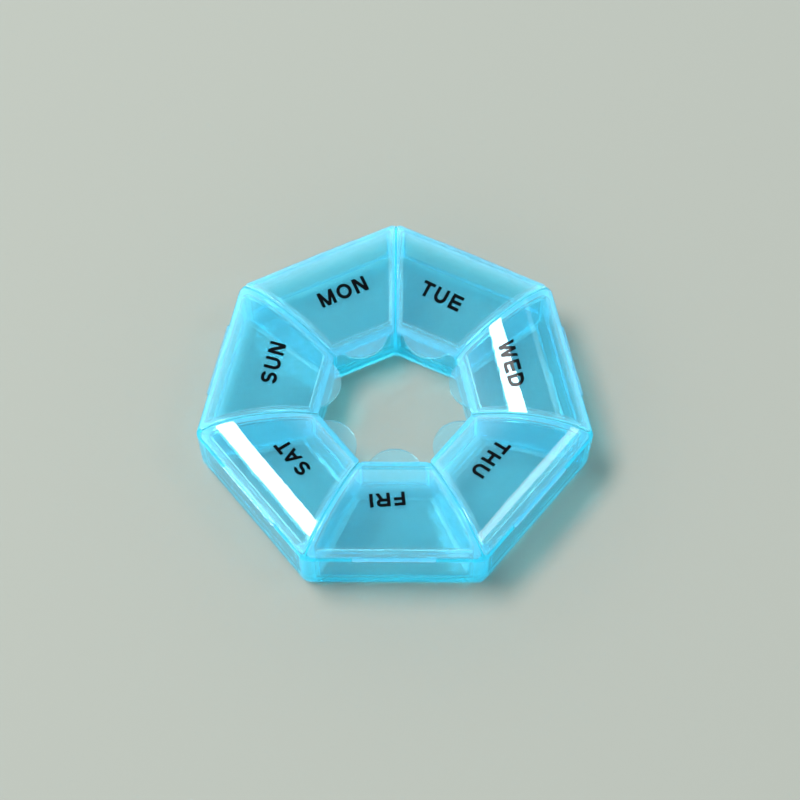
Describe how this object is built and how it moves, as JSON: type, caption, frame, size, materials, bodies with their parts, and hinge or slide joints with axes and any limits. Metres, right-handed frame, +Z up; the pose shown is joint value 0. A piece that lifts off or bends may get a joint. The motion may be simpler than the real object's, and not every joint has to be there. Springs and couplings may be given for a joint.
{
  "type": "weekly pill organizer",
  "caption": "Ring-shaped heptagonal pill box in clear tinted plastic: a cell for each day round an open centre, each under an arched lid that swings outward on a living hinge.",
  "frame": {"origin": "on the ring's axis, in the plane of the flat underside that the box rests on", "axes": "+Z up through the open centre; -Y towards the cell at the front (Friday), +Y towards the corner between Monday and Tuesday"},
  "size_m": [0.0988, 0.0969, 0.0187],
  "materials": {
    "tray_plastic": "clear blue-tinted moulded plastic, glossy, deepest in colour along walls seen edge on",
    "lid_plastic": "clear blue-tinted moulded plastic sheet, polished",
    "hinge_plastic": "the same plastic, thin and paler at the fold"
  },
  "bodies": {
    "tray": {"base_tray": "tray_plastic", "hinge_friday": "hinge_plastic", "hinge_saturday": "hinge_plastic", "hinge_sunday": "hinge_plastic", "hinge_monday": "hinge_plastic", "hinge_tuesday": "hinge_plastic", "hinge_wednesday": "hinge_plastic", "hinge_thursday": "hinge_plastic"},
    "friday_lid": {"lid_friday": "lid_plastic"},
    "saturday_lid": {"lid_saturday": "lid_plastic"},
    "sunday_lid": {"lid_sunday": "lid_plastic"},
    "monday_lid": {"lid_monday": "lid_plastic"},
    "tuesday_lid": {"lid_tuesday": "lid_plastic"},
    "wednesday_lid": {"lid_wednesday": "lid_plastic"},
    "thursday_lid": {"lid_thursday": "lid_plastic"}
  },
  "joints": [
    {"name": "friday_lid_hinge", "type": "hinge", "parent": "tray", "child": "friday_lid", "pos_m": [0, -0.0459, 0.014], "axis": [1, 0, 0], "range_deg": [0, 180], "deforming": ["hinge_friday"]},
    {"name": "saturday_lid_hinge", "type": "hinge", "parent": "tray", "child": "saturday_lid", "pos_m": [-0.03589, -0.02862, 0.014], "axis": [0.6235, -0.7818, 0], "range_deg": [0, 180], "deforming": ["hinge_saturday"]},
    {"name": "sunday_lid_hinge", "type": "hinge", "parent": "tray", "child": "sunday_lid", "pos_m": [-0.04475, 0.01021, 0.014], "axis": [-0.2225, -0.9749, 0], "range_deg": [0, 180], "deforming": ["hinge_sunday"]},
    {"name": "monday_lid_hinge", "type": "hinge", "parent": "tray", "child": "monday_lid", "pos_m": [-0.01992, 0.04135, 0.014], "axis": [-0.901, -0.4339, 0], "range_deg": [0, 180], "deforming": ["hinge_monday"]},
    {"name": "tuesday_lid_hinge", "type": "hinge", "parent": "tray", "child": "tuesday_lid", "pos_m": [0.01992, 0.04135, 0.014], "axis": [-0.901, 0.4339, 0], "range_deg": [0, 180], "deforming": ["hinge_tuesday"]},
    {"name": "wednesday_lid_hinge", "type": "hinge", "parent": "tray", "child": "wednesday_lid", "pos_m": [0.04475, 0.01021, 0.014], "axis": [-0.2225, 0.9749, 0], "range_deg": [0, 180], "deforming": ["hinge_wednesday"]},
    {"name": "thursday_lid_hinge", "type": "hinge", "parent": "tray", "child": "thursday_lid", "pos_m": [0.03589, -0.02862, 0.014], "axis": [0.6235, 0.7818, 0], "range_deg": [0, 180], "deforming": ["hinge_thursday"]}
  ]
}
